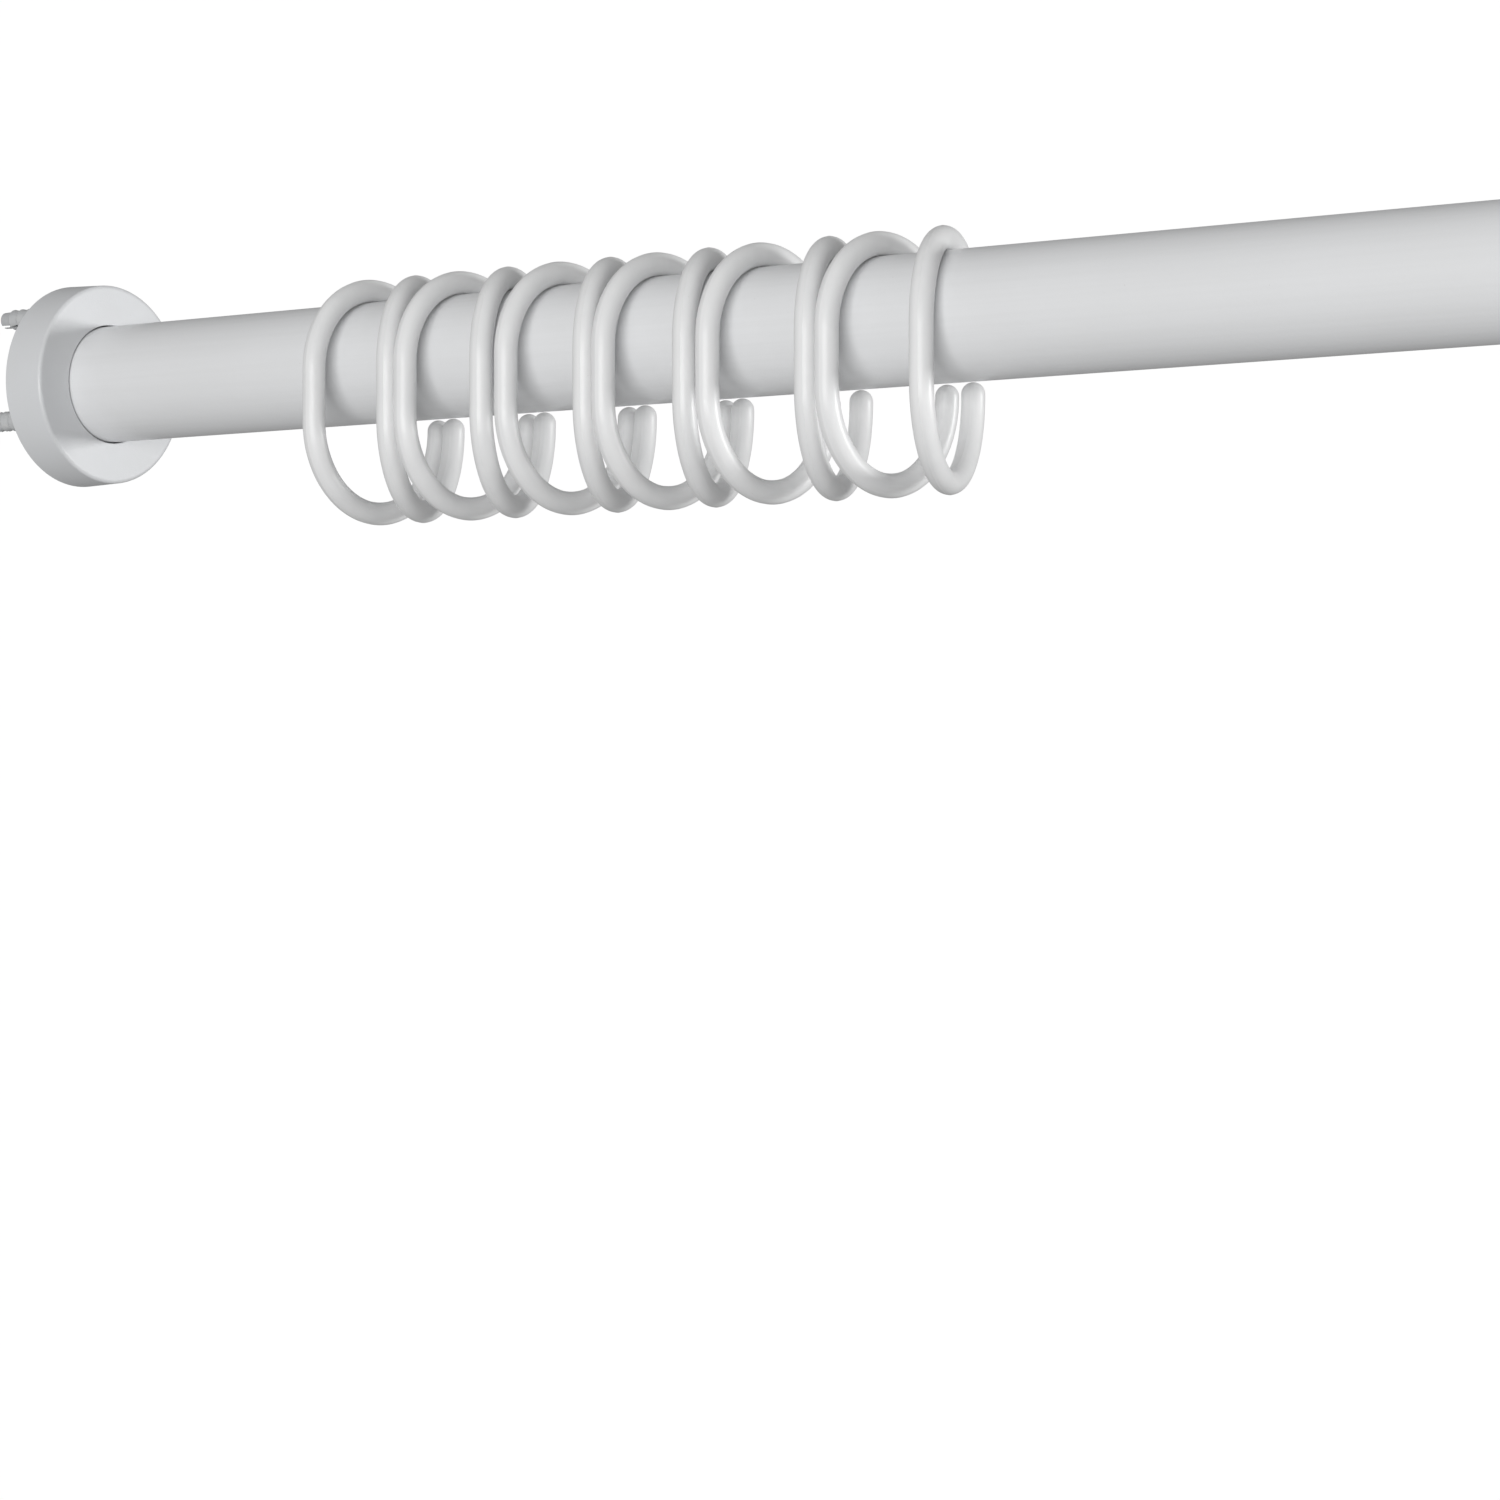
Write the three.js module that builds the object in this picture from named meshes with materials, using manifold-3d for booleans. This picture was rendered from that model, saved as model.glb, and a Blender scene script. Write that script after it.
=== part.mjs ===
// Shower curtain rod for fixing between two walls: a white lacquered steel tube, a round
// two-piece bracket with its fixings at each end, and twelve C-shaped plastic curtain rings.
// Millimetres, +Z up. The origin is the centre of the left bracket's wall face, +X runs along
// the rod to the right-hand wall, and +Y is the side that the rings are open on.

import * as THREE from 'three';
import { mergeVertices } from 'three/addons/utils/BufferGeometryUtils.js';
import Module from 'manifold-3d';

const wasm = await Module();
wasm.setup();

// ---------------------------------------------------------------- driving dimensions

// Overall
const wallToWall = 800;         // between the two wall faces
const fitGap = 0.3;             // play between pieces that touch or pass through each other

// Rod
const rodDiameter = 28;
const rodWall = 1;

// Bracket cover: a shallow turned cup over the wall plate, slightly narrower at the front
const coverTaper = 0.4;         // how much less the radius is at the front than at the wall
const coverWall = 2;
const coverClearance = 0.6;     // between the lock screw's head and the inside of the front
const coverEdge = 1;            // rounding of the front outer edge

// Wall plate with the spigot that carries the rod
const plateThickness = 3.5;
const plateEdge = 0.55;         // metal left inside and outside the ring of screw heads
const spigotReach = 24;         // from the wall to the spigot's end
const spigotWall = 2.2;
const padRadius = 10;           // middle pad of the plate's back
const grooveWidth = 2.5;        // shallow groove round the pad
const grooveDepth = 0.6;

// Countersunk wall screws and their plugs
const screwCount = 3;
const screwDiameter = 3;
const screwLength = 30;
const screwHeadDiameter = 6;
const screwHeadSink = 0.2;      // head below the plate's face
const screwTip = 3;             // length of the point
const driveWidth = 2.4;         // cross recess
const driveBlade = 0.7;
const driveDepth = 1.1;
const plugDiameter = 5;
const plugLength = 25;

// Screw that locks the rod to the spigot
const lockDiameter = 2.9;
const lockHeadDiameter = 5;
const lockHeadHeight = 1.6;
const lockCrown = 1 / 3;        // the head's crown against its height, and its flat against its width
const lockTip = 1;              // how far the screw's end stands inside the spigot
const lockClearance = 0.6;      // between the screw's head and the plate

// Curtain rings
const ringWire = 5.2;           // diameter of the round section
const ringPlay = 2.9;           // between the rod's side and the legs beside it
const ringFlare = 0.7;          // how much wider the bow that carries the curtain is
const ringLeg = 12.2;           // straight front leg between the bows
const ringStub = 3.4;           // straight end above the mouth, behind the rod
const ringRise = 2.7;           // straight free end below the mouth
const ringTip = 0.55;           // size of the wire at its two ends against its full section
const ringYaw = [-3, 20];       // degrees, odd rings and even rings, as the curtain's folds turn them
const ringStart = 98;           // first ring, from the left wall
const ringSpare = 0.558;        // between neighbours that hang as close as they can
const ringSlack = [0, 0, 0, 2, 0, 0, 0, 1, 4, 0, 2];  // what is added to that after each ring

// Facets and cutting
const roundFine = 40;           // round the rod, the plates and the covers
const roundSmall = 12;          // round screws and plugs
const filletSteps = 3;
const wireSides = 8;
const wireSteps = 32;
const endTolerance = 1e-3;      // finds the points of a wire's end face
const cutOverrun = 1;           // how far a cutter stands out of a face

// ---------------------------------------------------------------- sizes that follow

const rodRadius = rodDiameter / 2;
const rodBore = rodRadius - rodWall;
const spigotRadius = rodBore - fitGap;
const screwHole = screwDiameter / 2 + fitGap;
const screwHeadHole = screwHeadDiameter / 2 + fitGap;
const screwHeadCone = (screwHeadDiameter - screwDiameter) / 2;
const screwHeadTop = plateThickness - screwHeadSink;
const screwCircle = rodRadius + plateEdge + screwHeadHole;
const plateRadius = screwCircle + screwHeadHole + plateEdge;
const coverHollow = plateRadius + fitGap;
const coverFront = coverHollow + coverWall;
const coverRadius = coverFront + coverTaper;
const lockReach = plateThickness + lockClearance + lockHeadDiameter / 2;
const coverDepth = lockReach + lockHeadDiameter / 2 + coverClearance + coverWall;
const wireRadius = ringWire / 2;
const ringUpperBow = rodRadius + wireRadius + ringPlay;
const ringLowerBow = ringUpperBow + ringFlare;
const upperBowHeight = rodRadius + fitGap + wireRadius - ringUpperBow;
const lowerBowHeight = upperBowHeight - ringLeg;

// ---------------------------------------------------------------- finishes

const finish = (color, roughness, metalness) =>
  new THREE.MeshStandardMaterial({ color, roughness, metalness });

const whiteLacquer = () => finish(0xe4e5e5, 0.35, 0);
const whiteCover = () => finish(0xe9eaeb, 0.32, 0);
const castAlloy = () => finish(0xa9abad, 0.45, 0.85);
const zincSteel = () => finish(0xc3c5c8, 0.3, 0.95);
const greyNylon = () => finish(0x9a9c9e, 0.6, 0);
const ringPlastic = () => finish(0xecedee, 0.28, 0);

// ---------------------------------------------------------------- solids

/** Closed geometry to a solid that can be cut and joined. */
function toSolid(geometry) {
  const bare = geometry.clone();
  bare.deleteAttribute('normal');
  bare.deleteAttribute('uv');
  const merged = mergeVertices(bare, 1e-4);
  const vertProperties = new Float32Array(merged.attributes.position.array);
  const triVerts = new Uint32Array(merged.index.array);
  return new wasm.Manifold(new wasm.Mesh({ numProp: 3, vertProperties, triVerts }));
}

/** Solid back to a geometry with normals. */
function toGeometry(solid) {
  const mesh = solid.getMesh();
  const geometry = new THREE.BufferGeometry();
  geometry.setAttribute('position', new THREE.BufferAttribute(mesh.vertProperties, 3));
  geometry.setIndex(new THREE.BufferAttribute(mesh.triVerts, 1));
  geometry.computeVertexNormals();
  return geometry;
}

/** One geometry with a list of others cut away from it. */
function cut(geometry, cutters) {
  let solid = toSolid(geometry);
  for (const cutter of cutters) {
    solid = solid.subtract(toSolid(cutter));
  }
  return toGeometry(solid);
}

/** Turned piece about the X axis from a profile of [x, radius] points, ordered wall to front outside. */
function turned(profile, segments) {
  const points = profile.map(([x, radius]) => new THREE.Vector2(radius, x));
  return new THREE.LatheGeometry(points, segments).rotateZ(-Math.PI / 2);
}

/** Plain pin about the X axis from x0 to x1. */
function pin(x0, x1, radius, segments) {
  return turned([[x0, 0], [x0, radius], [x1, radius], [x1, 0]], segments);
}

/** Points of a quarter round about [x, r], from the outside round to the front. */
function edgeRound(x, r, radius) {
  const points = [];
  for (let i = 0; i <= filletSteps; i += 1) {
    const angle = (Math.PI / 2) * (1 - i / filletSteps);
    points.push([x + radius * Math.cos(angle), r + radius * Math.sin(angle)]);
  }
  return points;
}

/** Stands a piece that was made about the X axis on the lock screw's axis, head outwards along +Y. */
function onLockAxis(geometry) {
  return geometry.rotateZ(Math.PI / 2).translate(lockReach, 0, 0);
}

/** Clearance hole for the lock screw, from the rod's axis out through its back. */
function lockHoleCutter() {
  return onLockAxis(pin(0, rodDiameter, lockDiameter / 2 + fitGap, roundSmall));
}

/** Moves a piece that was made about the X axis to the given screw position on the plate. */
function onScrewAxis(geometry, index) {
  const angle = Math.PI / 2 + (2 * Math.PI * index) / screwCount;
  return geometry.translate(0, screwCircle * Math.cos(angle), screwCircle * Math.sin(angle));
}

function part(name, geometry, material) {
  const mesh = new THREE.Mesh(geometry, material);
  mesh.name = name;
  return mesh;
}

// ---------------------------------------------------------------- rod

function makeRod() {
  const start = plateThickness + fitGap;
  const end = wallToWall - start;
  const tube = turned(
    [[start, rodBore], [start, rodRadius], [end, rodRadius], [end, rodBore], [start, rodBore]],
    roundFine,
  );
  const leftHole = lockHoleCutter();
  const rightHole = lockHoleCutter().rotateY(Math.PI).translate(wallToWall, 0, 0);
  return part('rod_tube', cut(tube, [leftHole, rightHole]), whiteLacquer());
}

// ---------------------------------------------------------------- bracket

function wallPlateGeometry() {
  const grooveEdge = padRadius + grooveWidth;
  const body = turned([
    [0, 0], [0, padRadius], [grooveDepth, padRadius], [grooveDepth, grooveEdge],
    [0, grooveEdge], [0, plateRadius], [plateThickness, plateRadius],
    [plateThickness, spigotRadius], [spigotReach, spigotRadius],
    [spigotReach, spigotRadius - spigotWall], [plateThickness, spigotRadius - spigotWall],
    [plateThickness, 0],
  ], roundFine);
  const cutters = [lockHoleCutter()];
  for (let i = 0; i < screwCount; i += 1) {
    cutters.push(onScrewAxis(screwHoleCutter(), i));
  }
  return cut(body, cutters);
}

/** Clearance hole with its countersink, open at both faces of the plate. */
function screwHoleCutter() {
  const front = plateThickness + cutOverrun;
  return turned([
    [-cutOverrun, 0], [-cutOverrun, screwHole], [screwHeadTop - screwHeadCone, screwHole],
    [screwHeadTop, screwHeadHole], [front, screwHeadHole], [front, 0],
  ], roundSmall);
}

function coverGeometry() {
  const mouth = rodRadius + fitGap;
  const inside = coverDepth - coverWall;
  return turned([
    [fitGap, coverHollow], [fitGap, coverRadius],
    ...edgeRound(coverDepth - coverEdge, coverFront - coverEdge, coverEdge),
    [coverDepth, mouth], [inside, mouth], [inside, coverHollow], [fitGap, coverHollow],
  ], roundFine);
}

function wallScrewGeometry() {
  const neck = screwHeadTop - screwHeadCone;
  const end = screwHeadTop - screwLength;
  const shank = screwDiameter / 2;
  const body = turned([
    [end, 0], [end + screwTip, shank], [neck, shank],
    [screwHeadTop, screwHeadDiameter / 2], [screwHeadTop, 0],
  ], roundSmall);
  return cut(body, driveBlades(screwHeadTop));
}

/** Two crossed blades that cut a cross recess into a head whose top is at x. */
function driveBlades(x) {
  const blade = () => new THREE.BoxGeometry(2 * driveDepth, driveWidth, driveBlade).translate(x, 0, 0);
  return [blade(), blade().rotateX(Math.PI / 2)];
}

function wallPlugGeometry() {
  const outer = plugDiameter / 2;
  const mouth = -fitGap;
  const end = mouth - plugLength;
  return turned([
    [end, screwHole], [end, outer], [mouth, outer], [mouth, screwHole], [end, screwHole],
  ], roundSmall);
}

function lockScrewGeometry() {
  const seat = rodRadius + fitGap;
  const top = seat + lockHeadHeight;
  const end = spigotRadius - spigotWall - lockTip;
  const shank = lockDiameter / 2;
  const head = lockHeadDiameter / 2;
  const body = turned([
    [end, 0], [end, shank], [seat, shank], [seat, head],
    [top - lockHeadHeight * lockCrown, head], [top, lockHeadDiameter * lockCrown], [top, 0],
  ], roundSmall);
  return onLockAxis(cut(body, driveBlades(top)));
}

/** Every piece of one bracket, made at the left wall. */
function makeBracket(side) {
  const bracket = new THREE.Group();
  bracket.add(part(`${side}_wall_plate`, wallPlateGeometry(), castAlloy()));
  bracket.add(part(`${side}_cover`, coverGeometry(), whiteCover()));
  bracket.add(part(`${side}_tube_lock_screw`, lockScrewGeometry(), zincSteel()));
  for (let i = 0; i < screwCount; i += 1) {
    const screw = onScrewAxis(wallScrewGeometry(), i);
    const plug = onScrewAxis(wallPlugGeometry(), i);
    bracket.add(part(`${side}_wall_screw_${i + 1}`, screw, zincSteel()));
    bracket.add(part(`${side}_wall_plug_${i + 1}`, plug, greyNylon()));
  }
  return bracket;
}

// ---------------------------------------------------------------- curtain rings

/** Middle line of a ring in the YZ plane, from its upper back end round to its lower back tip. */
class RingLine extends THREE.Curve {
  constructor() {
    super();
    this.stretches = [
      { length: ringStub, place: (s) => [ringUpperBow, upperBowHeight - ringStub + s] },
      { length: Math.PI * ringUpperBow, place: (s) => bowPoint(0, upperBowHeight, ringUpperBow, s) },
      { length: ringLeg, place: (s) => [-ringUpperBow, upperBowHeight - s] },
      { length: Math.PI * ringLowerBow, place: lowerBowPoint },
      { length: ringRise, place: (s) => [ringFlare + ringLowerBow, lowerBowHeight + s] },
    ];
    this.length = this.stretches.reduce((sum, stretch) => sum + stretch.length, 0);
  }

  getPoint(t, target = new THREE.Vector3()) {
    let s = t * this.length;
    let i = 0;
    while (i < this.stretches.length - 1 && s > this.stretches[i].length) {
      s -= this.stretches[i].length;
      i += 1;
    }
    const [y, z] = this.stretches[i].place(s);
    return target.set(0, y, z);
  }
}

/** Point at arc length s on a bow about [y, z] that starts at its back and goes over the top. */
function bowPoint(y, z, radius, s) {
  const a = s / radius;
  return [y + radius * Math.cos(a), z + radius * Math.sin(a)];
}

/** Point at arc length s on the lower bow, which goes on from the front leg, below, to the back. */
function lowerBowPoint(s) {
  return bowPoint(ringFlare, lowerBowHeight, ringLowerBow, Math.PI * ringLowerBow + s);
}

/** Narrows the two ends of a ring towards the middle of the wire. */
function taperEnds(geometry, line) {
  const position = geometry.attributes.position;
  for (const end of [line.getPoint(0), line.getPoint(1)]) {
    for (let i = 0; i < position.count; i += 1) {
      const point = new THREE.Vector3().fromBufferAttribute(position, i);
      const level = Math.abs(point.z - end.z) < endTolerance;
      if (level && point.distanceTo(end) < ringWire) {
        point.lerp(end, 1 - ringTip);
        position.setXYZ(i, point.x, point.y, point.z);
      }
    }
  }
  return geometry;
}

function ringGeometry() {
  const line = new RingLine();
  const section = new THREE.Shape().absarc(0, 0, wireRadius, 0, 2 * Math.PI);
  const wire = new THREE.ExtrudeGeometry(section, {
    extrudePath: line,
    steps: wireSteps,
    curveSegments: wireSides / 2,
  });
  return taperEnds(wire, line);
}

/** Least distance along the rod between neighbouring rings that are turned in opposite ways. */
function ringPitch() {
  const [odd, even] = ringYaw.map((yaw) => Math.sin(THREE.MathUtils.degToRad(yaw)));
  const back = ringFlare + ringLowerBow;
  return back * Math.abs(even - odd) + ringWire + ringSpare;
}

function makeRings() {
  const rings = new THREE.Group();
  const pitch = ringPitch();
  let station = ringStart;
  for (let i = 0; i <= ringSlack.length; i += 1) {
    const name = `ring_${String(i + 1).padStart(2, '0')}`;
    const ring = part(name, ringGeometry(), ringPlastic());
    ring.position.x = station;
    ring.rotation.z = THREE.MathUtils.degToRad(ringYaw[i % 2]);
    rings.add(ring);
    station += pitch + ringSlack[i];
  }
  return rings;
}

// ---------------------------------------------------------------- assembly

const object = new THREE.Group();
object.add(makeRod());
object.add(makeBracket('left'));

const rightBracket = makeBracket('right');
rightBracket.position.x = wallToWall;
rightBracket.rotation.y = Math.PI;
object.add(rightBracket);
object.add(makeRings());

export default object;
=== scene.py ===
"""Finished surfaces for a white shower curtain rod with two round brackets and twelve rings.

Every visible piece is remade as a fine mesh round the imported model, in metres and in its frame:
+X runs along the rod from the left wall, +Z is up and the rings are open towards +Y.
"""

from __future__ import annotations

import logging
import math
from collections.abc import Callable, Sequence
from dataclasses import dataclass, field
from enum import Enum
from typing import Any

import bmesh
import bpy
from mathutils import Matrix, Vector


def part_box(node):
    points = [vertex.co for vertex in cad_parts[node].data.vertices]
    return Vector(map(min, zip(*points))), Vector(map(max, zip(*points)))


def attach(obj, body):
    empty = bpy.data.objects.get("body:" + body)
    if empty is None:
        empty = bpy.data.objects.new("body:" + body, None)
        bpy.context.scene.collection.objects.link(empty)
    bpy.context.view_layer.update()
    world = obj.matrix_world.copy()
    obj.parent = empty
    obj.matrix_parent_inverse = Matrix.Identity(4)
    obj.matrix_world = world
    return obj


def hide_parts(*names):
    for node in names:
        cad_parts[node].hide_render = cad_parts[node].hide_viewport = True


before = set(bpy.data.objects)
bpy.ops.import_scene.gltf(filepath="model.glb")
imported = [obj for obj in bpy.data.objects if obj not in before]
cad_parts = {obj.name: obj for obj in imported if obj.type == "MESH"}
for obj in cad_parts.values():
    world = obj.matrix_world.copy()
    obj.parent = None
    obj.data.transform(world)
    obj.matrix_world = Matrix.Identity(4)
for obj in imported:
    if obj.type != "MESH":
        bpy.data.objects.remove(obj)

LOG = logging.getLogger("curtain_rod")
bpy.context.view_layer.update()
MM = 0.001
FIT_GAP = 0.3 * MM
SCREW_NUMBERS = (1, 2, 3)
QUARTER_TURN = math.pi / 2.0
CRISP_ABOVE = 32.0  # degrees between faces
ON_AXIS = 1e-9

Point2 = tuple[float, float]
Colour = tuple[float, float, float]


class Side(Enum):
    """The two ends of the rod."""

    LEFT = "left"
    RIGHT = "right"

    @property
    def inward(self) -> float:
        """Direction along X from this end's wall into the room: 1 or -1."""
        return 1.0 if self is Side.LEFT else -1.0


class Slot(Enum):
    """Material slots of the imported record."""

    LACQUER = "white_lacquer"
    COVER = "white_cover"
    RING = "ring_plastic"
    CAST = "cast_alloy"
    ZINC = "zinc_steel"
    NYLON = "grey_nylon"


def radius_of(node: str) -> float:
    """Radius of a packed round piece that lies along X.

    Args:
        node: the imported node.

    Returns:
        Half the height of its box.
    """
    low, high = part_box(node)
    return (high.z - low.z) / 2.0


def lock_axis(side: Side) -> Matrix:
    """Placing on a lock screw's axis, towards +Y.

    Args:
        side: the end of the rod.

    Returns:
        The placing of a piece that was made about the X axis.
    """
    low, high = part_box(f"{side.value}_tube_lock_screw")
    stand = Matrix.Translation(((low.x + high.x) / 2.0, 0.0, 0.0))
    return stand @ Matrix.Rotation(QUARTER_TURN, 4, "Z")


# ------------------------------------------------------------------------------ shader maths


class Value:
    """A shader socket that takes part in ordinary arithmetic."""

    def __init__(self, graph: "Graph", socket: bpy.types.NodeSocket) -> None:
        """Wraps one output socket of a graph."""
        self.graph = graph
        self.socket = socket

    def __add__(self, other: "Value | float") -> "Value":
        """Sum."""
        return self.graph.math("ADD", self, other)

    __radd__ = __add__

    def __sub__(self, other: "Value | float") -> "Value":
        """Difference."""
        return self.graph.math("SUBTRACT", self, other)

    def __rsub__(self, other: float) -> "Value":
        """Difference from a number."""
        return self.graph.math("SUBTRACT", other, self)

    def __mul__(self, other: "Value | float") -> "Value":
        """Product."""
        return self.graph.math("MULTIPLY", self, other)

    __rmul__ = __mul__

    def __pow__(self, power: float) -> "Value":
        """Power."""
        return self.graph.math("POWER", self, power)

    def step(self, low: float, high: float) -> "Value":
        """Smooth step.

        Args:
            low: where it leaves 0.
            high: where it reaches 1.

        Returns:
            The step.
        """
        settings = {"interpolation_type": "SMOOTHSTEP", "clamp": True}
        sockets = {"Value": self, "From Min": low, "From Max": high}
        return self.graph.node("ShaderNodeMapRange", settings, sockets)

    def bell(self, centre: float, width: float) -> "Value":
        """Soft peak of height 1 at centre that has faded out at a distance of width."""
        return 1.0 - self.graph.math("ABSOLUTE", self - centre).step(0.0, width)


class Graph:
    """Node tree of one material, built from expressions."""

    def __init__(self, name: str) -> None:
        """Makes a plain material.

        Args:
            name: the material's name.
        """
        self.material = bpy.data.materials.new(name)
        self.material.use_nodes = True
        self.tree = self.material.node_tree
        self.surface = self.tree.nodes["Principled BSDF"]

    def node(
        self,
        kind: str,
        settings: dict[str, Any] | None = None,
        sockets: dict[str | int, Any] | None = None,
        output: str | int = 0,
    ) -> Value:
        """Adds a node.

        Args:
            kind: the node's type.
            settings: properties such as an operation, which are set first.
            sockets: values or links, by socket name or number.
            output: the output socket to return.

        Returns:
            The wrapped output socket.
        """
        made = self.tree.nodes.new(kind)
        for key, value in (settings or {}).items():
            setattr(made, key, value)
        for key, value in (sockets or {}).items():
            self.feed(made.inputs[key], value)
        return Value(self, made.outputs[output])

    def feed(self, socket: bpy.types.NodeSocket, value: Any) -> None:
        """Links a value to a socket, or sets a number, vector or colour on it.

        Args:
            socket: the input socket.
            value: a Value, a number or a tuple.
        """
        if isinstance(value, Value):
            self.tree.links.new(value.socket, socket)
        elif socket.type == "RGBA" and len(value) == 3:
            socket.default_value = (*value, 1.0)
        else:
            socket.default_value = value

    def math(self, operation: str, *values: Value | float) -> Value:
        """Adds a Math node.

        Args:
            operation: the Math node's operation.
            values: its inputs in order.

        Returns:
            The result.
        """
        return self.node("ShaderNodeMath", {"operation": operation}, dict(enumerate(values)))

    def place(self, stretch: tuple[float, float, float] = (1.0, 1.0, 1.0)) -> Value:
        """Position in the frame in metres, stretched along each axis.

        Args:
            stretch: factor for X, Y and Z.

        Returns:
            The stretched position.
        """
        position = self.node("ShaderNodeTexCoord", output="Object")
        return self.node("ShaderNodeVectorMath", {"operation": "MULTIPLY"}, {0: position, 1: stretch})

    def axis(self, name: str) -> Value:
        """One coordinate of the position in the frame, by its axis name."""
        return self.node("ShaderNodeSeparateXYZ", None, {"Vector": self.place()}, name)

    def radius(self) -> Value:
        """Distance from the rod's axis."""
        return (self.axis("Y") ** 2.0 + self.axis("Z") ** 2.0) ** 0.5

    def noise(
        self,
        size: float,
        detail: float = 3.0,
        stretch: tuple[float, float, float] = (1.0, 1.0, 1.0),
        rough: float = 0.5,
    ) -> Value:
        """Cloudy noise from 0 to 1.

        Args:
            size: size of a cloud in metres.
            detail: octaves.
            stretch: factors on the position before the noise.
            rough: how strong the finer octaves are.

        Returns:
            The noise value.
        """
        sockets = {"Vector": self.place(stretch), "Scale": 1.0 / size, "Detail": detail}
        sockets["Roughness"] = rough
        return self.node("ShaderNodeTexNoise", {"noise_dimensions": "3D"}, sockets, "Fac")

    def cells(self, size: float) -> Value:
        """Distance to the nearest of scattered points, in cells.

        Args:
            size: size of a cell in metres.

        Returns:
            The distance.
        """
        sockets = {"Vector": self.place(), "Scale": 1.0 / size}
        return self.node("ShaderNodeTexVoronoi", {"feature": "F1"}, sockets, "Distance")

    def specks(self, size: float, share: float) -> Value:
        """Small round specks.

        Args:
            size: mean distance between candidate specks in metres.
            share: radius of a speck as a share of that distance.

        Returns:
            1 on a speck, 0 elsewhere.
        """
        return 1.0 - self.cells(size).step(share * 0.6, share)

    def blend(self, first: Any, second: Any, factor: Value) -> Value:
        """Blend of two colours, plain or linked.

        Args:
            first: colour at factor 0.
            second: colour at factor 1.
            factor: the blend.

        Returns:
            The blended colour.
        """
        settings = {"data_type": "RGBA", "clamp_factor": True}
        return self.node("ShaderNodeMix", settings, {0: factor, 6: first, 7: second}, 2)

    def relief(self, height: Value, depth: float, under: Value | None = None) -> Value:
        """Bump from a height map.

        Args:
            height: the map, from 0 to 1.
            depth: what 1 stands for, in metres.
            under: the normal of a relief below this one.

        Returns:
            The changed normal.
        """
        sockets: dict[str | int, Any] = {"Height": height, "Distance": depth, "Strength": 1.0}
        if under is not None:
            sockets["Normal"] = under
        return self.node("ShaderNodeBump", None, sockets)

    def finish(self, fixed: dict[str, Any], varying: dict[str, Value]) -> bpy.types.Material:
        """Sets the surface's sockets.

        Args:
            fixed: what is the same all over.
            varying: what changes over the surface.

        Returns:
            The material.
        """
        for name, value in (fixed | varying).items():
            self.feed(self.surface.inputs[name], value)
        return self.material


# ------------------------------------------------------------------------------ finishes


@dataclass(frozen=True)
class Dust:
    """Sparse specks of dust: colour, mean distance apart, size as a share of it, and strength."""

    colour: Colour
    apart: float
    share: float
    strength: float

    def over(self, g: Graph, colour: Value) -> Value:
        """Colour with the dust on it, in the graph g."""
        return g.blend(colour, self.colour, g.specks(self.apart, self.share) * self.strength)


@dataclass(frozen=True)
class WhiteLacquer:
    """Satin white stove enamel on the drawn tube."""

    colour: Colour = (0.795, 0.802, 0.812)
    worn: Colour = (0.735, 0.740, 0.744)
    dust: Dust = Dust((0.52, 0.51, 0.49), 6 * MM, 0.022, 0.5)
    roughness: float = 0.33
    rub_height: tuple[float, float] = (9 * MM, 14 * MM)
    peel_depth: float = 0.034 * MM
    line_depth: float = 0.016 * MM

    def material(self) -> bpy.types.Material:
        """Enamel with orange peel, faint drawing lines, and rubbing marks along the top.

        Returns:
            The material.
        """
        g = Graph("white_lacquer")
        lines = g.noise(1.1 * MM, 4.0, (0.012, 1.0, 1.0))
        clouds = g.noise(38 * MM, 3.0)
        peel = g.noise(1.3 * MM, 2.0)
        grains = g.noise(0.16 * MM, 2.0)
        rubs = g.noise(0.5 * MM, 3.0, (0.04, 1.0, 1.0)).step(0.52, 0.72)
        rubbed = g.axis("Z").step(*self.rub_height) * rubs
        shade = clouds.step(0.3, 0.7) * 0.22 + lines.step(0.35, 0.75) * 0.2
        colour = self.dust.over(g, g.blend(self.colour, self.worn, shade + rubbed * 0.35))
        rough = self.roughness + clouds * 0.06 - 0.03 + lines * 0.05 + rubbed * 0.1
        normal = g.relief(lines, self.line_depth, g.relief(peel + grains * 0.15, self.peel_depth))
        fixed = {"IOR": 1.49, "Coat Weight": 0.18, "Coat Roughness": 0.2}
        return g.finish(fixed, {"Base Color": colour, "Roughness": rough, "Normal": normal})


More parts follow.
